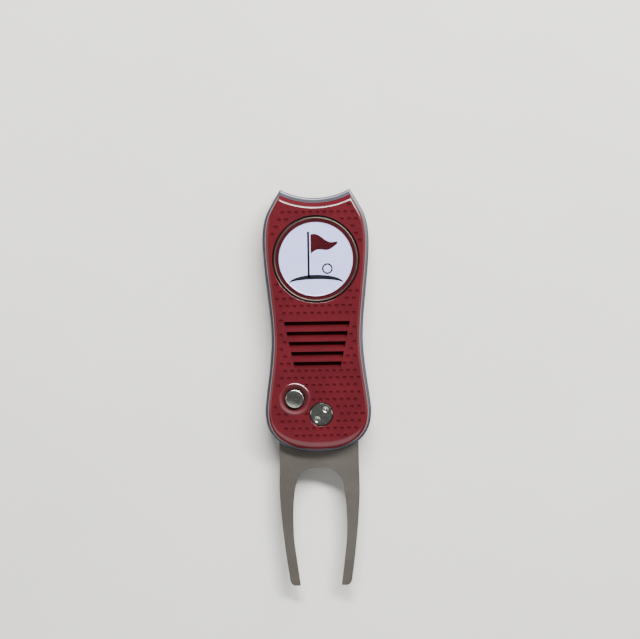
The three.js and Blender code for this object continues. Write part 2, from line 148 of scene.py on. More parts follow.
# Fork edges, in millimetres: across the tool, then from the pivot.
FORK_REACH = 51.6
FORK_OUTER = [(11.9, -15.7), (12.0, -23.2), (11.45, -32.1), (10.5, -41.1), (9.35, -49.6)]
FORK_SLOT = [
    (6.15, -51.6), (6.35, -50.0), (7.15, -44.0), (7.87, -38.1), (8.05, -32.1),
    (7.75, -25.5), (6.9, -20.6), (5.4, -17.9), (3.4, -16.6),
]
SLOT_TOP = -16.3
TIP_CORNER = 1.6
LEFT_SHOULDER = 2.0
RIGHT_SHOULDER = -7.4
TANG_RADIUS = 7.6
SCALLOP_RADIUS = 2.5
SCALLOP_ARM = 9.2
SCALLOP_ANGLE = math.radians(149.3)
TAPER_START = -44.0
TAPER_DEPTH = 0.8
FORK_BORE = 3.4
SPRING_POCKET = 4.8
SPRING_POCKET_DEPTH = 1.7
SPRING_LEG_HALF = 0.6
SPRING_LEG_REACH = (6.1, 4.1)
FORK_CHAMFER = 0.28
PLATE_ROUND = 0.6
PLATE_EDGE = 0.12

AROUND = 96
FAR = 30.0
LEVEL = 0.99999
TOUCHING = 1e-4


# Curves.

def span(before, first, last, after):
    """End points and end slopes of one span of a centripetal curve through four points."""
    gaps = [max((b - a).length, 1e-6) ** 0.5 for a, b in ((before, first), (first, last), (last, after))]
    d0, d1, d2 = gaps
    leaving = ((first - before) / d0 - (last - before) / (d0 + d1) + (last - first) / d1) * d1
    arriving = ((last - first) / d1 - (after - first) / (d1 + d2) + (after - last) / d2) * d1
    return first, leaving, last, arriving


def curve_at(points, t):
    """Place and direction at t, from 0 to 1, on a smooth curve through the points."""
    spans = len(points) - 1
    i = min(int(t * spans), spans - 1)
    u = t * spans - i
    before = points[i - 1] if i else 2 * points[0] - points[1]
    after = points[i + 2] if i + 2 <= spans else 2 * points[-1] - points[-2]
    p, leaving, q, arriving = span(before, points[i], points[i + 1], after)
    place = p * (2 * u**3 - 3 * u**2 + 1) + q * (3 * u**2 - 2 * u**3)
    place += leaving * (u**3 - 2 * u**2 + u) + arriving * (u**3 - u**2)
    slope = (q - p) * (6 * u - 6 * u**2) + leaving * (3 * u**2 - 4 * u + 1) + arriving * (3 * u**2 - 2 * u)
    return place, slope.normalized()


def from_pivot(points):
    return [Vector((x, y + PIVOT.y)) for x, y in points]


def mirrored(points):
    return [(-x, y) for x, y in reversed(points)]


SIDE_CURVE = from_pivot([*HANDLE_SIDE, (0, HANDLE_END), *mirrored(HANDLE_SIDE)])


def side_point(t, inset, end_inset):
    """A point of the handle's side moved inwards, by end_inset in all where the side faces the fork."""
    place, along = curve_at(SIDE_CURVE, t)
    inwards = Vector((along.y, -along.x))
    facing_end = max(inwards.y, 0.0) ** 2 if place.y < PIVOT.y else 0.0
    return place + inwards * (inset + (end_inset - inset) * facing_end)


def outline(inset, cradle_inset=None, end_inset=None):
    """The handle's outline moved in, from the right horn round the end to the left horn and back."""
    cradle_inset = inset if cradle_inset is None else cradle_inset
    end_inset = inset if end_inset is None else end_inset
    side_steps, cradle_steps, halvings = 180, 30, 30
    centre = Vector((0, PIVOT.y + CRADLE_CENTRE))
    radius = CRADLE_RADIUS + cradle_inset
    low, high = 0.0, 0.2
    for _ in range(halvings):
        half = (low + high) / 2
        if (side_point(half, inset, end_inset) - centre).length < radius:
            low = half
        else:
            high = half
    points = []
    for i in range(side_steps + 1):
        points.append(side_point(high + (1 - 2 * high) * i / side_steps, inset, end_inset))
    horn = math.asin(points[0].x / radius)
    for i in range(1, cradle_steps):
        angle = -horn + 2 * horn * i / cradle_steps
        points.append(centre + radius * Vector((math.sin(angle), -math.cos(angle))))
    return points


# Mesh work.

def slab(points, low, high):
    """A flat plate: the outline as one face, extruded upwards."""
    bm = bmesh.new()
    face = bm.faces.new([bm.verts.new((p.x, p.y, low)) for p in points])
    top = bmesh.ops.extrude_face_region(bm, geom=[face])
    lifted = [v for v in top["geom"] if isinstance(v, bmesh.types.BMVert)]
    bmesh.ops.translate(bm, vec=(0, 0, high - low), verts=lifted)
    bmesh.ops.recalc_face_normals(bm, faces=bm.faces)
    return bm


def next_ring(bm, face, places):
    """Extrudes a face and moves the new face's corners to the places."""
    lifted = bmesh.ops.extrude_face_region(bm, geom=[face, *face.edges])
    face = next(g for g in lifted["geom"] if isinstance(g, bmesh.types.BMFace))
    for vert, place in zip(face.verts, places):
        vert.co = place
    return face


def round_edges(bm, edges, width, segments):
    bmesh.ops.bevel(
        bm, geom=edges, offset=width, offset_type="OFFSET", segments=segments, profile=0.5,
        affect="EDGES", material=-1, clamp_overlap=True,
    )


def round_rim(bm, height, width, segments):
    """Rounds the edges of a slab that lie at a height."""
    rim = [e for e in bm.edges if all(abs(v.co.z - height) < TOUCHING for v in e.verts)]
    round_edges(bm, rim, width, segments)


def shade(bm, corner):
    """Shades a mesh smooth, except at corners and round its level faces, which stay truly flat."""
    for face in bm.faces:
        face.smooth = True
    for edge in bm.edges:
        level = [abs(face.normal.z) > LEVEL for face in edge.link_faces]
        edge.smooth = edge.calc_face_angle(0.0) < corner and all(level) == any(level)


def turned(profile, x, y, steps=AROUND):
    """A piece turned on a vertical axis. The profile is (radius, height), from the bottom to the top."""
    bm = bmesh.new()
    verts = [bm.verts.new((radius, 0, height)) for radius, height in profile]
    edges = [bm.edges.new(pair) for pair in zip(verts, verts[1:])]
    bmesh.ops.spin(
        bm, geom=verts + edges, cent=(0, 0, 0), axis=(0, 0, 1), dvec=(0, 0, 0),
        angle=2 * math.pi, steps=steps, use_merge=True, use_duplicate=False,
    )
    bmesh.ops.remove_doubles(bm, verts=bm.verts, dist=TOUCHING)
    bmesh.ops.recalc_face_normals(bm, faces=bm.faces)
    bmesh.ops.translate(bm, vec=(x, y, 0), verts=bm.verts)
    return bm


def tube_ring(profile, x, y, steps=AROUND):
    """A ring turned on a vertical axis from a closed profile."""
    return turned([*profile, profile[0]], x, y, steps)


def drill(radius, low, high, x, y, steps=48):
    return turned([(0, low), (radius, low), (radius, high), (0, high)], x, y, steps)


def rounded_hole(radius, low, face, x, y, lip=0.07, steps=AROUND):
    """A hole whose mouth at the height face is rounded by lip."""
    profile = [(0, low), (radius, low), (radius, face - lip)]
    for i in range(1, 5):
        angle = math.pi / 8 * i
        profile.append((radius + lip * (1 - math.cos(angle)), face - lip + lip * math.sin(angle)))
    profile += [(radius + lip, FAR), (0, FAR)]
    return turned(profile, x, y, steps)


def box(x0, x1, y0, y1, z0, z1):
    bm = bmesh.new()
    bmesh.ops.create_cube(bm, size=1.0)
    bmesh.ops.scale(bm, vec=(x1 - x0, y1 - y0, z1 - z0), verts=bm.verts)
    bmesh.ops.translate(bm, vec=((x0 + x1) / 2, (y0 + y1) / 2, (z0 + z1) / 2), verts=bm.verts)
    return bm


def joined(parts):
    """Several meshes as one, without joining their surfaces."""
    mesh = bpy.data.meshes.new("joining")
    whole = bmesh.new()
    for part in parts:
        part.to_mesh(mesh)
        whole.from_mesh(mesh)
        part.free()
    bpy.data.meshes.remove(mesh)
    return whole


def as_object(name, bm):
    mesh = bpy.data.meshes.new(name)
    bm.to_mesh(mesh)
    bm.free()
    piece = bpy.data.objects.new(name, mesh)
    bpy.context.scene.collection.objects.link(piece)
    return piece


def combined(bm, groups, operation="DIFFERENCE", own=(), lining=None):
    """The mesh with each group of separate solids cut from it, or added to it, in turn. With a lining,
    the cut surfaces take that material, which comes after the mesh's own ones."""
    body = as_object("blank", bm)
    tools = [as_object("cutter", joined(group)) for group in groups]
    for material in own:
        body.data.materials.append(material)
    for tool in tools:
        step = body.modifiers.new("step", "BOOLEAN")
        step.operation = operation
        step.solver = "MANIFOLD"
        step.object = tool
        if lining:
            tool.data.materials.append(lining)
            step.material_mode = "TRANSFER"
    bpy.context.view_layer.update()
    result = bmesh.new()
    result.from_object(body, bpy.context.evaluated_depsgraph_get())
    for used in [body, *tools]:
        mesh = used.data
        bpy.data.objects.remove(used)
        bpy.data.meshes.remove(mesh)
    return result


def finished(name, bm, body, materials, stands_for=(), smooth=38):
    """A finished piece in metres, shaded smooth except at corners, riding on its body."""
    bm.normal_update()
    shade(bm, math.radians(smooth))
    bmesh.ops.scale(bm, vec=(MM, MM, MM), verts=bm.verts)
    piece = as_object(name, bm)
    for material in materials:
        piece.data.materials.append(material)
    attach(piece, body)
    if stands_for:
        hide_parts(*stands_for)
    return piece


# Materials. The spreads are the parts of a noise's 0 to 1 range that hold nearly all its values.

TONE_SPREAD = (0.35, 0.65)
GRAIN_SPREAD = (0.3, 0.7)


def linear(hex_colour):
    """An sRGB hex colour as linear red, green, blue and alpha."""
    values = [int(hex_colour[i:i + 2], 16) / 255 for i in (1, 3, 5)]
    return (*[v / 12.92 if v <= 0.04045 else ((v + 0.055) / 1.055) ** 2.4 for v in values], 1.0)


def add(tree, kind, settings=None, links=None):
    """Adds a node, with settings by attribute or socket name and links by socket name."""
    node = tree.nodes.new(kind)
    for key, value in (settings or {}).items():
        if hasattr(node, key):
            setattr(node, key, value)
        else:
            node.inputs[key].default_value = value
    for key, source in (links or {}).items():
        tree.links.new(source, node.inputs[key])
    return node


def blank_material(name):
    material = bpy.data.materials.new(name)
    material.use_nodes = True
    material.node_tree.nodes.clear()
    return material, material.node_tree


def per_mm(size):
    """The scale of a noise whose features are this many millimetres across."""
    return 1.0 / (size * MM)


def surface(name, colours, tone_mm, grain_mm, bump, rough, shader, stretch=(1, 1, 1)):
    """A material whose colour drifts between two tones and whose grain gives bump and roughness. The bump
    is a strength and a depth in millimetres, and the roughness a low and a high value."""
    material, tree = blank_material(name)
    place = add(tree, "ShaderNodeTexCoord")
    drawn = add(tree, "ShaderNodeMapping", {"Scale": stretch}, {"Vector": place.outputs["Object"]})
    tone = add(
        tree, "ShaderNodeTexNoise",
        {"Scale": per_mm(tone_mm), "Detail": 3.0, "Roughness": 0.6},
        {"Vector": place.outputs["Object"]},
    )
    grain = add(
        tree, "ShaderNodeTexNoise",
        {"Scale": per_mm(grain_mm), "Detail": 4.0, "Roughness": 0.65},
        {"Vector": drawn.outputs["Vector"]},
    )
    colour = add(tree, "ShaderNodeValToRGB", links={"Fac": tone.outputs["Fac"]})
    for stop, reach, shade_of in zip(colour.color_ramp.elements, TONE_SPREAD, colours):
        stop.position = reach
        stop.color = linear(shade_of)
    roughness = add(
        tree, "ShaderNodeMapRange",
        {
            "From Min": GRAIN_SPREAD[0], "From Max": GRAIN_SPREAD[1],
            "To Min": rough[0], "To Max": rough[1],
        },
        {"Value": grain.outputs["Fac"]},
    )
    relief = add(
        tree, "ShaderNodeBump",
        {"Strength": bump[0], "Distance": bump[1] * MM},
        {"Height": grain.outputs["Fac"]},
    )
    finish = add(tree, "ShaderNodeBsdfPrincipled", shader, {
        "Base Color": colour.outputs["Color"],
        "Roughness": roughness.outputs["Result"],
        "Normal": relief.outputs["Normal"],
    })
    add(tree, "ShaderNodeOutputMaterial", links={"Surface": finish.outputs["BSDF"]})
    return material


# Covers: ABS moulded against a polished tool, a semi-gloss deep red with a grain too fine to feel.
moulded_abs = surface(
    "moulded_abs_red", ("#4b1019", "#54131b"), 9.0, 0.22, (0.2, 0.015), (0.14, 0.22),
    {"Specular IOR Level": 0.8, "IOR": 1.5},
)
# Hollow round the button: the same ABS from a bead-blasted part of the tool, with only a soft sheen.
blasted_abs = surface(
    "bead_blasted_abs_red", ("#4b1019", "#54131b"), 9.0, 0.22, (0.3, 0.02), (0.5, 0.6),
    {"Specular IOR Level": 0.4, "IOR": 1.5},
)
# Pits and slots of the covers: the same ABS left matt by etched pins; its colour is a little darker than
# the face, which is painted shade in these recesses.
matt_abs_painted_shade = surface(
    "etched_abs_red_painted_shade", ("#40080f", "#470a12"), 9.0, 0.22, (0.3, 0.03), (0.7, 0.8),
    {"Specular IOR Level": 0.1, "IOR": 1.5},
)
# Frame: aluminium plate, tumbled and anodised, a dark soft grey with no direction to its sheen.
anodised_aluminium = surface(
    "anodised_aluminium", ("#585961", "#63646c"), 14.0, 0.15, (0.2, 0.02), (0.34, 0.46),
    {"Metallic": 1.0},
)
# Fork: stainless sheet, stamped and belt finished along its length, warm grey with faint long lines.
belted_steel = surface(
    "belted_stainless_steel", ("#635f59", "#6c6862"), 16.0, 0.12, (0.3, 0.03), (0.36, 0.5),
    {"Metallic": 1.0}, (1, 0.05, 1),
)
# Button and pivot screw: bright nickel plate over turned steel, nearly a mirror.
bright_nickel = surface(
    "bright_nickel_plate", ("#b9b9ae", "#c6c6bb"), 3.0, 0.45, (0.35, 0.006), (0.12, 0.22),
    {"Metallic": 1.0},
)
# Marker rim: steel plated in dark gunmetal bronze, satin.
gunmetal_plate = surface(
    "gunmetal_bronze_plate", ("#6b5f57", "#7a6d63"), 5.0, 0.12, (0.15, 0.01), (0.34, 0.46),
    {"Metallic": 1.0},
)
# Screws, pins, springs and plunger: zinc plated steel, cool grey and slightly cloudy.
zinc_steel = surface(
    "zinc_plated_steel", ("#8f9195", "#a3a5a9"), 2.5, 0.15, (0.2, 0.01), (0.28, 0.42),
    {"Metallic": 1.0},
)
# Bush and washers: sintered bronze, brown gold with open pores.
sintered_bronze = surface(
    "sintered_bronze", ("#8c6a3c", "#a37e4a"), 1.5, 0.1, (0.5, 0.02), (0.35, 0.55),
    {"Metallic": 1.0},
)
# Magnet: nickel plated, bright and smooth.
plated_magnet = surface(
    "nickel_plated_magnet", ("#b0b1b3", "#bfc0c2"), 3.0, 0.25, (0.1, 0.01), (0.16, 0.24),
    {"Metallic": 1.0},
)


def enamel(name, colours):
    """Soft enamel, filled and baked: even colour under a smooth wet gloss."""
    return surface(
        name, colours, 6.0, 0.8, (0.12, 0.02), (0.16, 0.24),
        {"Coat Weight": 0.4, "Coat Roughness": 0.08},
    )


enamel_red = enamel("enamel_dark_red", ("#33060e", "#3b0911"))
enamel_white = enamel("enamel_white", ("#b6b9ee", "#bcbff0"))
enamel_black = enamel("enamel_black", ("#121317", "#17181c"))


# Handle.

def cradle_reach(drop):
    """How far in the cover's edge lies along the cradle where it has dropped by an amount."""
    if drop > CRADLE_ROUND_DROP:
        return CRADLE_SLOPE * (ROUNDING_DEPTH - drop) / (ROUNDING_DEPTH - CRADLE_ROUND_DROP)
    return CRADLE_SLOPE + CRADLE_ROUND_REACH * (1 - math.sqrt(drop / CRADLE_ROUND_DROP))


def cover_blank(face, back):
    """A cover with a straight wall from back and a rounded edge up to face, which may be below back."""
    up = 1 if face > back else -1
    rings = [(0.0, ROUNDING_DEPTH, back)]
    for turn in ROUNDING_TURNS:
        drop = ROUNDING_DEPTH * (1 - math.sin(math.radians(turn)))
        rings.append((1 - math.cos(math.radians(turn)), drop, face - up * drop))
    bm = bmesh.new()
    top = None
    for share, drop, height in rings:
        points = outline(
            COVER_INSET + SIDE_ROUNDING * share,
            COVER_CRADLE_INSET + cradle_reach(drop),
            COVER_INSET + (SIDE_ROUNDING + END_ROUNDING) * share,
        )
        places = [(p.x, p.y, height) for p in points]
        if top is None:
            top = bm.faces.new([bm.verts.new(place) for place in places])
        else:
            top = next_ring(bm, top, places)
    bmesh.ops.recalc_face_normals(bm, faces=bm.faces)
    return bm


def inside(point, points):
    """Whether a point lies inside a closed outline."""
    found = False
    for a, b in zip(points, [*points[1:], points[0]]):
        if (a.y > point.y) != (b.y > point.y):
            if point.x < a.x + (point.y - a.y) * (b.x - a.x) / (b.y - a.y):
                found = not found
    return found


def rounded_rectangle(half_width, half_height, x, y, z, corners=12):
    """Places round a rectangle with generously rounded corners."""
    places = []
    for i in range(corners):
        angle = 2 * math.pi * (i + 0.5) / corners
        across = math.copysign(abs(math.cos(angle)) ** 0.5, math.cos(angle))
        along = math.copysign(abs(math.sin(angle)) ** 0.5, math.sin(angle))
        places.append((x + half_width * across, y + half_height * along, z))
    return places


def pit(spot, face, up):
    """The space of one dimple: a flat floor, sloping walls and a mouth that eases into the face."""
    shape = [(0.0, -1.0), (0.6, -0.5), (1.0, -0.1), (1.3, 0.08), (1.3, 1.0)]
    bm = bmesh.new()
    end = None
    for share, height in shape:
        half = [low + (high - low) * share for low, high in zip(DIMPLE_FLOOR, DIMPLE_MOUTH)]
        places = rounded_rectangle(*half, spot.x, spot.y, face + up * DIMPLE_DEPTH * height)
        if end is None:
            end = bm.faces.new([bm.verts.new(place) for place in places])
        else:
            end = next_ring(bm, end, places)
    bmesh.ops.recalc_face_normals(bm, faces=bm.faces)
    return bm


def dimples(face, up, kept_clear):
    """Moulded pits in staggered rows over a cover's face, away from its edge and its holes."""
    edge = outline(
        COVER_INSET + DIMPLE_EDGE,
        COVER_CRADLE_INSET + CRADLE_SLOPE + CRADLE_ROUND_REACH + DIMPLE_CRADLE_GAP,
        COVER_INSET + SIDE_ROUNDING + END_ROUNDING + DIMPLE_END_GAP,
    )
    pits = []
    for row in range(-DIMPLE_ROWS, DIMPLE_ROWS + 1):
        for column in range(-DIMPLE_COLUMNS, DIMPLE_COLUMNS + 1):
            x = DIMPLE_START[0] + (column + 0.5 * (row % 2)) * DIMPLE_PITCH
            spot = Vector((x, DIMPLE_START[1] + row * DIMPLE_ROW))
            if inside(spot, edge) and not any(clear(spot) for clear in kept_clear):
                pits.append(pit(spot, face, up))
    return pits


def around(centre, radius):
    """A test for points within a radius of a centre, with the dimples' margin."""
    return lambda spot: (spot - Vector((centre.x, centre.y))).length < radius + DIMPLE_MARGIN


def on_louvres(spot):
    """Whether a point lies on the louvre field or in its margin."""
    high = PIVOT.y + LOUVRE_TOP
    low = high - (LOUVRES - 1) * LOUVRE_PITCH - LOUVRE_HEIGHT
    if not low - DIMPLE_MARGIN < spot.y < high + DIMPLE_MARGIN:
        return False
    share = (high - spot.y) / (high - low)
    return abs(spot.x) < FIELD_TOP_HALF + (FIELD_BOTTOM_HALF - FIELD_TOP_HALF) * share + DIMPLE_MARGIN


def louvre(index, face):
    """The space of one louvre: slanted ends, a floor that climbs towards the fork, and a rounded mouth."""
    field_low = LOUVRE_TOP - (LOUVRES - 1) * LOUVRE_PITCH - LOUVRE_HEIGHT
    high = LOUVRE_TOP - index * LOUVRE_PITCH
    low = high - LOUVRE_HEIGHT

    def half(y):
        share = (LOUVRE_TOP - y) / (LOUVRE_TOP - field_low)
        return FIELD_TOP_HALF + (FIELD_BOTTOM_HALF - FIELD_TOP_HALF) * share

    corners = from_pivot([(half(high), high), (-half(high), high), (-half(low), low), (half(low), low)])
    floors = [LOUVRE_FLOOR, LOUVRE_FLOOR, LOUVRE_LIP, LOUVRE_LIP]
    centre = sum(corners, Vector((0, 0))) / 4
    bm = bmesh.new()
    face_now = bm.faces.new([bm.verts.new((c.x, c.y, z)) for c, z in zip(corners, floors)])
    lip = LOUVRE_ROUND
    for out, height in [(0, face - lip), (0.3 * lip, face - 0.4 * lip), (lip, face), (lip, face + 1)]:
        places = []
        for c in corners:
            x = c.x + math.copysign(out, c.x - centre.x)
            y = c.y + math.copysign(out, c.y - centre.y)
            places.append((x, y, height))
        face_now = next_ring(bm, face_now, places)
    bmesh.ops.recalc_face_normals(bm, faces=bm.faces)
    return bm


def dish(face):
    """The hollow round the button: it rolls in from its lip and steepens towards a flat floor."""
    profile = [(0, face - DISH_DEPTH)]
    crest = face + DISH_LIP_RISE
    steps = 14
    for i in range(steps + 1):
        share = i / steps
        radius = DISH_FLOOR_RADIUS + (DISH_RADIUS - DISH_FLOOR_RADIUS) * share
        profile.append((radius, crest - (DISH_DEPTH + DISH_LIP_RISE) * (1 - share) ** DISH_STEEPENING))
    profile += [(DISH_RADIUS, FAR), (0, FAR)]
    return turned(profile, BUTTON.x, BUTTON.y)


def dish_lip(face):
    """The low lip of the hollow round the button: level at its crest, easing down into the cover."""
    inner, outer = DISH_RADIUS - DISH_LIP, DISH_RADIUS + DISH_LIP
    root = face - DISH_LIP_ROOT
    profile = [(inner, root), (inner, face + DISH_LIP_RISE)]
    steps = 8
    for i in range(steps + 1):
        share = i / steps
        rise = DISH_LIP_RISE * (1 + math.cos(math.pi * share)) / 2
        profile.append((DISH_RADIUS + DISH_LIP * share, face - DISH_LIP_SINK + rise))
    profile.append((outer, root))
    return tube_ring(profile, BUTTON.x, BUTTON.y)


def screw_places():
    """The middles of the four cover screws."""
    return [middle(f"cover_screw_{i}") for i in range(1, 5)]


def front_cover():
    """The dimpled front cover, with the marker's seat, the button's hollow and the louvres."""
    face = highs("front_cover").z
    back = lows("front_cover").z
    seat = lows("marker_body").z
    clear = [
        around(MARKER, MARKER_SEAT),
        around(BUTTON, DISH_RADIUS + DISH_DIMPLE_GAP),
        around(PIVOT, PIVOT_WINDOW),
        on_louvres,
    ]
    holes = [
        rounded_hole(MARKER_SEAT, seat, face, MARKER.x, MARKER.y),
        rounded_hole(PIVOT_WINDOW, 0, face, PIVOT.x, PIVOT.y),
    ]
    lined = [*[louvre(i, face) for i in range(LOUVRES)], *dimples(face, 1, clear)]
    through = [
        drill(MAGNET_HOLE, 0, seat + 1, MARKER.x, MARKER.y),
        drill(BUTTON_WINDOW, 0, face + 1, BUTTON.x, BUTTON.y, AROUND),
    ]
    lipped = combined(cover_blank(face, back), [[dish_lip(face)]], "UNION")
    holed = combined(lipped, [holes, through])
    hollowed = combined(holed, [[dish(face)]], own=[moulded_abs], lining=blasted_abs)
    # The louvres and pits take the darker matt lining, whose darker colour is painted shade.
    bm = combined(hollowed, [lined], own=[moulded_abs, blasted_abs], lining=matt_abs_painted_shade)
    materials = [moulded_abs, blasted_abs, matt_abs_painted_shade]
    finished("front_cover_dimpled", bm, "handle", materials, ["front_cover"])


def back_cover():
    """The dimpled back cover, with the screws' counterbores and the button spring's well."""
    face = lows("back_cover").z
    back = highs("back_cover").z
    clear = [around(PIVOT, PIVOT_WINDOW), *[around(p, SCREW_COUNTERBORE) for p in screw_places()]]
    holes = [
        drill(PIVOT_WINDOW, face - 1, back + 1, PIVOT.x, PIVOT.y, AROUND),
        drill(COLLAR_WINDOW, lows("button_spring").z, back + 1, BUTTON.x, BUTTON.y),
        *[drill(SCREW_COUNTERBORE, face - 1, SCREW_SEAT, p.x, p.y) for p in screw_places()],
    ]
    through = [drill(SCREW_HOLE, face - 1, back + 1, p.x, p.y, 32) for p in screw_places()]
    blank = combined(cover_blank(face, back), [holes, through])
    # The pits take the darker matt lining, whose darker colour is painted shade.
    bm = combined(blank, [dimples(face, -1, clear)], own=[moulded_abs], lining=matt_abs_painted_shade)
    finished("back_cover_dimpled", bm, "handle", [moulded_abs, matt_abs_painted_shade], ["back_cover"])


def plate(node, button_hole, outer):
    """A frame plate, widely rounded where its outer face shows past the cover."""
    low, high = lows(node).z, highs(node).z
    blank = slab(outline(0.0), low, high)
    shown, hidden = (high, low) if outer > 0 else (low, high)
    round_rim(blank, shown, PLATE_ROUND, 5)
    round_rim(blank, hidden, PLATE_EDGE, 2)
    holes = [
        drill(SLEEVE_HOLE, low - 1, high + 1, PIVOT.x, PIVOT.y),
        drill(button_hole, low - 1, high + 1, BUTTON.x, BUTTON.y),
        *[drill(SCREW_HOLE, low - 1, high + 1, p.x, p.y, 32) for p in screw_places()],
    ]
    bm = combined(blank, [holes])
    finished(f"{node}_tumbled", bm, "handle", [anodised_aluminium], [node])


def spine():
    """The block that holds the plates apart, along the left side and across the top."""
    low, high = lows("spine_spacer").z, highs("spine_spacer").z
    cuts = [
        [box(SPINE_FACE, FAR, -3 * FAR, PIVOT.y + TOP_BLOCK, 0, FAR)],
        [box(-FAR, FAR, -3 * FAR, PIVOT.y + SPINE_LOW_END, 0, FAR)],
        [drill(SCREW_HOLE, low - 1, high + 1, p.x, p.y, 32) for p in screw_places()],
    ]
    bm = combined(slab(outline(SPINE_INSET), low, high), cuts)
    finished("spine_spacer_milled", bm, "handle", [anodised_aluminium], ["spine_spacer"])


# Fork.

def tang_radius(angle):
    """The tang's radius at an angle, with the two lock scallops taken out."""
    radius = TANG_RADIUS
    for scallop in (SCALLOP_ANGLE, SCALLOP_ANGLE - math.pi):
        off = math.remainder(angle - scallop, 2 * math.pi)
        reach = SCALLOP_RADIUS**2 - (SCALLOP_ARM * math.sin(off)) ** 2
        if reach > 0 and math.cos(off) > 0:
            radius = min(radius, SCALLOP_ARM * math.cos(off) - math.sqrt(reach))
    return radius


def fork_outline():
    """The fork's outline: right edge and tip, the slot between the tines, left edge, and the tang."""
    outer = from_pivot(FORK_OUTER)
    right = [curve_at(outer, i / 40)[0] for i in range(41)]
    last = right[-1]
    tip = Vector((last.x - 0.2 - TIP_CORNER, PIVOT.y - FORK_REACH))
    elbow = Vector((last.x - 0.3, tip.y))
    for i in range(1, 9):
        u = i / 8
        right.append(last * (1 - u) ** 2 + elbow * 2 * u * (1 - u) + tip * u**2)
    slot = from_pivot([*FORK_SLOT, (0, SLOT_TOP), *mirrored(FORK_SLOT)])
    middle_run = [curve_at(slot, i / 120)[0] for i in range(121)]
    left = [Vector((-p.x, p.y)) for p in reversed(right)]
    start = math.atan2(RIGHT_SHOULDER, math.sqrt(TANG_RADIUS**2 - RIGHT_SHOULDER**2))
    end = math.pi - math.asin(LEFT_SHOULDER / TANG_RADIUS)
    steps = 110
    tang = []
    for i in range(steps + 1):
        angle = end + (start - end) * i / steps
        direction = Vector((math.cos(angle), math.sin(angle)))
        tang.append(Vector((PIVOT.x, PIVOT.y)) + tang_radius(angle) * direction)
    shoulders = from_pivot([(-FORK_OUTER[0][0], LEFT_SHOULDER), (FORK_OUTER[0][0], RIGHT_SHOULDER)])
    return [*right, *middle_run, *left, shoulders[0], *tang, shoulders[1]]


def fork():
    """The fork, its tines tapering in thickness to the tips, with the spring's pocket in its tang."""
    low, high = lows("fork").z, highs("fork").z
    bm = slab(fork_outline(), low, high)
    for height in (low, high):
        round_rim(bm, height, FORK_CHAMFER, 2)
    start = PIVOT.y + TAPER_START
    bmesh.ops.bisect_plane(
        bm, geom=[*bm.verts, *bm.edges, *bm.faces], dist=TOUCHING,
        plane_co=(0, start, 0), plane_no=(0, 1, 0),
    )
    half = (high - low) / 2
    mid = (high + low) / 2
    for vert in bm.verts:
        if vert.co.y < start:
            drop = TAPER_DEPTH * (start - vert.co.y) / (FORK_REACH + TAPER_START)
            vert.co.z = mid + (vert.co.z - mid) * (1 - drop / half)
    pocket = high - SPRING_POCKET_DEPTH
    leg_x = (PIVOT.x - SPRING_LEG_HALF, PIVOT.x + SPRING_LEG_HALF)
    leg_y = [PIVOT.y - reach for reach in SPRING_LEG_REACH]
    cuts = [
        [drill(FORK_BORE, low - 1, high + 1, PIVOT.x, PIVOT.y)],
        [drill(SPRING_POCKET, pocket, high + 1, PIVOT.x, PIVOT.y)],
        [box(*leg_x, *leg_y, pocket, high + 1)],
    ]
    finished("fork_belted", combined(bm, cuts), "fork", [belted_steel], ["fork"], smooth=20)


# Button and pivot screw.

def button_cap():
    """The button: a hollow cap with a rounded edge and a slightly crowned top."""
    low, high = lows("button_cap").z, highs("button_cap").z
    radius, edge, crown, foot, wall = 2.8, 0.4, 0.12, 0.15, 1.0
    steps = 8
    roof = high - wall
    shoulder = high - crown - edge
    profile = [(0, roof), (NECK_HOLE, roof), (NECK_HOLE, low), (radius - foot, low), (radius, low + foot)]
    for i in range(steps + 1):
        angle = math.pi / 2 * i / steps
        profile.append((radius - edge + edge * math.cos(angle), shoulder + edge * math.sin(angle)))
    for i in range(1, steps + 1):
        share = 1 - i / steps
        profile.append(((radius - edge) * share, high - crown * share**2))
    bm = turned(profile, BUTTON.x, BUTTON.y, 128)
    finished("button_cap_plated", bm, "button", [bright_nickel], ["button_cap"])


def spanner_hole(x, y, face):
    """A small drilled hole in a shallow round hollow."""
    drilled, rim, sphere = 0.55, 0.85, 2.6
    wall_depth, point_depth = 1.0, 1.7
    steps = 6
    centre = face + math.sqrt(sphere**2 - rim**2)
    profile = [(0, face - point_depth), (drilled, face - wall_depth)]
    for i in range(steps + 1):
        radius = drilled + (rim - drilled) * i / steps
        profile.append((radius, centre - math.sqrt(sphere**2 - radius**2)))
    profile += [(rim, FAR), (0, FAR)]
    return turned(profile, x, y, 48)


def pivot_screw():
    """The pivot screw: a wide flat head with two spanner holes, on a plain shank."""
    low, high = lows("pivot_screw").z, highs("pivot_screw").z
    seat = lows("front_cover").z
    radius, shank, chamfer = 3.4, 1.2, 0.3
    holes_turn, holes_arm = math.radians(50), 1.9
    profile = [
        (0, low), (shank, low), (shank, seat), (radius, seat), (radius, high - chamfer),
        (radius - 0.06, high - 0.6 * chamfer), (radius - chamfer, high), (0, high),
    ]
    holes = []
    for side in (1, -1):
        x = PIVOT.x + side * holes_arm * math.cos(holes_turn)
        y = PIVOT.y + side * holes_arm * math.sin(holes_turn)
        holes.append(spanner_hole(x, y, high))
    bm = combined(turned(profile, PIVOT.x, PIVOT.y, 128), [holes])
    finished(
        "pivot_screw_plated", bm, "handle", [bright_nickel], ["pivot_screw"],
        smooth=20,
    )


# Marker.

RING_RADII = (11.15, 12.05)
FACE_RADIUS = 11.0


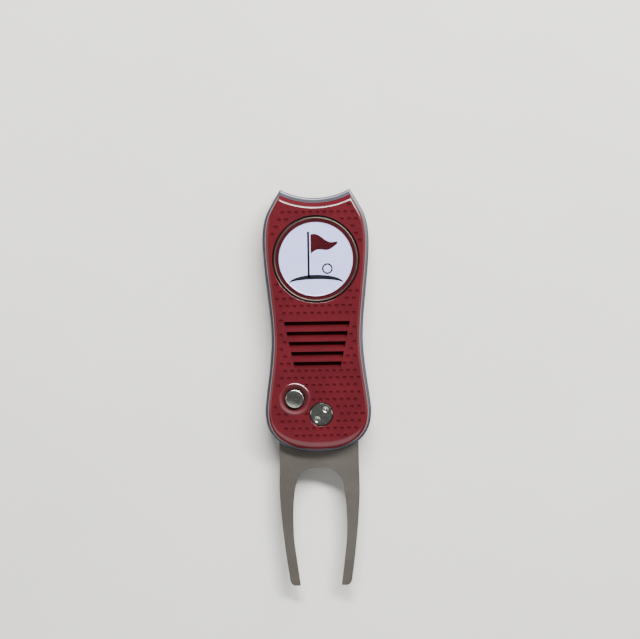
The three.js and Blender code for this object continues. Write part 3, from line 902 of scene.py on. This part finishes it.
def marker_body():
    """The marker's plated disc, recessed on both sides inside a rounded rim."""
    low, high = lows("marker_body").z, highs("marker_body").z
    outer, inner, recess, lip = 12.7, 12.15, 0.3, 0.14
    corner, edge_round = 2 * lip, 0.04
    profile = [
        (0, low + recess), (inner, low + recess), (inner, low + lip), (inner + lip, low),
        (outer - corner, low), (outer, low + corner), (outer, high - corner), (outer - corner, high),
        (inner + lip, high), (inner, high - lip), (inner, high - recess), (0, high - recess),
    ]
    bm = turned(profile, MARKER.x, MARKER.y, 160)
    sharp = [e for e in bm.edges if e.is_manifold and e.calc_face_angle(0.0) > math.radians(30)]
    round_edges(bm, sharp, edge_round, 2)
    finished("marker_body_plated", bm, "marker", [gunmetal_plate], ["marker_body"])


def enamel_fill(node, name, inner, outer, slot, material):
    """Enamel in the marker's recess. Its free face creeps up a little where it meets the metal."""
    low, high = lows(node).z, highs(node).z
    front = node.startswith("marker_front")
    face, back = (high, low) if front else (low, high)
    creep, reach = (0.02, 0.25) if inner else (0.08, 0.4)
    creep = creep if front else -creep
    steps = 5
    climb = [(reach * (1 - i / steps), creep * (i / steps) ** 2) for i in range(steps + 1)]
    profile = [(outer, back), *[(outer - away, face + rise) for away, rise in reversed(climb)]]
    if inner:
        profile += [*[(inner + away, face + rise) for away, rise in climb], (inner, back)]
        bm = tube_ring(profile, MARKER.x, MARKER.y, 160)
    else:
        bm = turned([(0, back), *profile, (0, face)], MARKER.x, MARKER.y, 160)
    finished(name, bm, "marker", [material], [node])


def raised(points, low, high):
    """A flat inlay with a broken upper edge."""
    edge = 0.02
    bm = slab(points, low, high)
    round_rim(bm, high, edge, 1)
    return bm


EMBLEM_THICKNESS = 0.05
STICK = (-2.5, -1.85, -5.6, 8.2)
PENNANT_START = -1.5
PENNANT_LENGTH = 8.0
PENNANT_TOP = 7.4
PENNANT_BOTTOM = 1.6
PENNANT_TAPER = 2.55
PENNANT_RIPPLE = 0.55
PENNANT_WAVES = 2.2
GREEN_HALF = 8.2
GREEN_FOOT = -7.3
GREEN_HEIGHTS = (2.6, 1.3)
BALL_PLACE = (3.4, -2.9)
BALL_RADII = (1.15, 1.6)


def emblem(side):
    """A plain golf device: a pennant on its stick, a ball and the edge of a green."""
    front = side == "front"
    face = highs("marker_front_face").z if front else lows("marker_back_face").z
    thickness = EMBLEM_THICKNESS if front else -EMBLEM_THICKNESS
    low, high = sorted((face, face + thickness))
    spot = Vector((MARKER.x, MARKER.y))
    turn = 1 if front else -1

    def at(points):
        moved = [spot + Vector((turn * x, y)) for x, y in points]
        return moved if front else list(reversed(moved))

    def wave(share, start_height, taper):
        """A point of the pennant's edge, which ripples as it runs out to the tip."""
        ripple = PENNANT_RIPPLE * math.sin(PENNANT_WAVES * math.pi * share)
        return PENNANT_START + PENNANT_LENGTH * share, start_height + taper * share + ripple

    def hill(turned_by, height):
        return GREEN_HALF * math.cos(turned_by), GREEN_FOOT + height * math.sin(turned_by)

    flag = [wave(i / 24, PENNANT_TOP, -PENNANT_TAPER) for i in range(25)]
    flag += [wave(i / 24, PENNANT_BOTTOM, PENNANT_TAPER) for i in range(24, -1, -1)]
    left, right, foot, head = STICK
    stick = [(left, foot), (right, foot), (right, head), (left, head)]
    green = [hill(math.pi * i / 32, GREEN_HEIGHTS[0]) for i in range(33)]
    green += [hill(math.pi * i / 32, GREEN_HEIGHTS[1]) for i in range(31, 0, -1)]
    inner, outer = BALL_RADII
    ring = tube_ring(
        [(inner, low), (outer, low), (outer, high), (inner, high)],
        spot.x + turn * BALL_PLACE[0], spot.y + BALL_PLACE[1], 48,
    )
    black = joined([raised(at(stick), low, high), raised(at(green), low, high), ring])
    finished(f"emblem_{side}_stick", black, "marker", [enamel_black])
    finished(f"emblem_{side}_pennant", raised(at(flag), low, high), "marker", [enamel_red])


front_cover()
back_cover()
plate("front_plate", NECK_HOLE, 1)
plate("back_plate", COLLAR_WINDOW, -1)
spine()
fork()
button_cap()
pivot_screw()
marker_body()
for side in ("front", "back"):
    enamel_fill(f"marker_{side}_ring", f"enamel_ring_{side}", *RING_RADII, "enamel_red", enamel_red)
    enamel_fill(f"marker_{side}_face", f"enamel_face_{side}", 0, FACE_RADIUS, "enamel_white", enamel_white)
for side in ("front", "back"):
    emblem(side)

# The frame's own nodes that stay keep their shape and take these finishes.
CARRIED = {
    "stop_pin": zinc_steel,
    "cover_screw_1": zinc_steel,
    "cover_screw_2": zinc_steel,
    "cover_screw_3": zinc_steel,
    "cover_screw_4": zinc_steel,
    "pivot_sleeve": zinc_steel,
    "torsion_spring": zinc_steel,
    "lock_plunger": zinc_steel,
    "button_spring": zinc_steel,
    "pivot_bush": sintered_bronze,
    "front_washer": sintered_bronze,
    "back_washer": sintered_bronze,
    "seat_magnet": plated_magnet,
}
for name, material in CARRIED.items():
    node = frame["nodes"][name]
    node.data.materials.clear()
    node.data.materials.append(material)


# Studio.

def floor():
    """A wide board, in metres, just below the surface that the tool lies on."""
    half_size, gap = 3.0, 0.0002
    bm = bmesh.new()
    bmesh.ops.create_grid(bm, x_segments=8, y_segments=8, size=half_size)
    bmesh.ops.translate(bm, vec=(0, 0, -gap), verts=bm.verts)
    piece = as_object("floor", bm)
    # Matt painted board: a pale warm grey with no sheen.
    paint = surface(
        "matt_painted_board", ("#dddbd6", "#e2e0db"), 120.0, 2.0, (0.05, 0.05), (0.7, 0.8),
        {"Specular IOR Level": 0.2},
    )
    piece.data.materials.append(paint)


def soft_light(name, place, power, width, height, aim=(0, 0, 0)):
    """A rectangular lamp that faces aim, with its power in watts and its lengths in metres."""
    lamp = bpy.data.lights.new(name, "AREA")
    lamp.shape = "RECTANGLE"
    lamp.size = width
    lamp.size_y = height
    lamp.energy = power
    holder = bpy.data.objects.new(name, lamp)
    bpy.context.scene.collection.objects.link(holder)
    holder.location = place
    holder.rotation_euler = (Vector(aim) - Vector(place)).to_track_quat("-Z", "Y").to_euler()


def camera():
    """Straight above, rolled a little, as far off as its lens needs for the view's width."""
    lens, sensor, view_width = 135.0, 36.0, 0.1907
    over_x, over_y, roll = 0.00095, 0.0204, -0.98
    eye = bpy.data.cameras.new("camera")
    eye.lens = lens
    eye.sensor_width = sensor
    holder = bpy.data.objects.new("camera", eye)
    bpy.context.scene.collection.objects.link(holder)
    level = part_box("front_cover")[1].z
    holder.location = (over_x, over_y, level + view_width * lens / sensor)
    holder.rotation_euler = (0, 0, math.radians(roll))
    bpy.context.scene.camera = holder


floor()
camera()
soft_light("key_strip", (0.16, 0.48, 0.68), 20.0, 0.8, 0.14, (0, 0.02, 0))
soft_light("low_key", (0.25, 0.62, 0.50), 3.5, 0.8, 0.35, (0, 0.02, 0))
soft_light("near_fill", (-0.08, -0.31, 0.60), 1.4, 0.9, 0.4)
soft_light("left_fill", (-0.7, 0.1, 0.5), 0.7, 0.3, 0.8)
soft_light("right_fill", (0.7, 0.1, 0.5), 0.7, 0.3, 0.8)

world = bpy.data.worlds.new("studio")
world.use_nodes = True
world.node_tree.nodes["Background"].inputs["Color"].default_value = linear("#c8ccd2")
world.node_tree.nodes["Background"].inputs["Strength"].default_value = 0.14
bpy.context.scene.world = world


def corners(bounds):
    """The two corners of a box as plain numbers."""
    return [[float(value) for value in corner] for corner in bounds]
